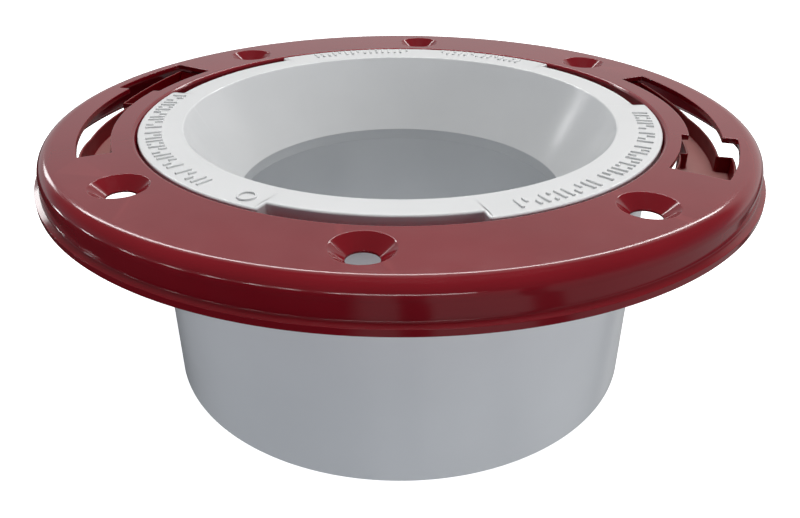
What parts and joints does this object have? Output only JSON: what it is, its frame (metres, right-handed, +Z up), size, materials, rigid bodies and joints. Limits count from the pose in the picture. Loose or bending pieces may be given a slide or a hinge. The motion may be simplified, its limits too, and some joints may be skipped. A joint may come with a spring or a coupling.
{
  "type": "closet flange",
  "caption": "White plastic closet flange hub with a funnelled bore and a red steel ring that turns on it, slotted for closet bolts and drilled for floor screws.",
  "frame": {"origin": "middle of the hub's bottom edge, on the axis of the drain", "axes": "+Z up the axis towards the toilet; the bolt slots lie on X at rest"},
  "size_m": [0.178, 0.178, 0.0673],
  "materials": {
    "white_pvc": "moulded white PVC, smooth, slightly satin",
    "red_paint": "dark red gloss coat on pressed steel"
  },
  "bodies": {
    "hub": {"pvc_hub": "white_pvc"},
    "ring": {"steel_ring": "red_paint", "bolt_track_right": "red_paint", "bolt_track_left": "red_paint"}
  },
  "joints": [
    {"name": "ring_turn", "type": "hinge", "parent": "hub", "child": "ring", "pos_m": [0, 0, 0.0673], "axis": [0, 0, 1], "continuous": true}
  ]
}
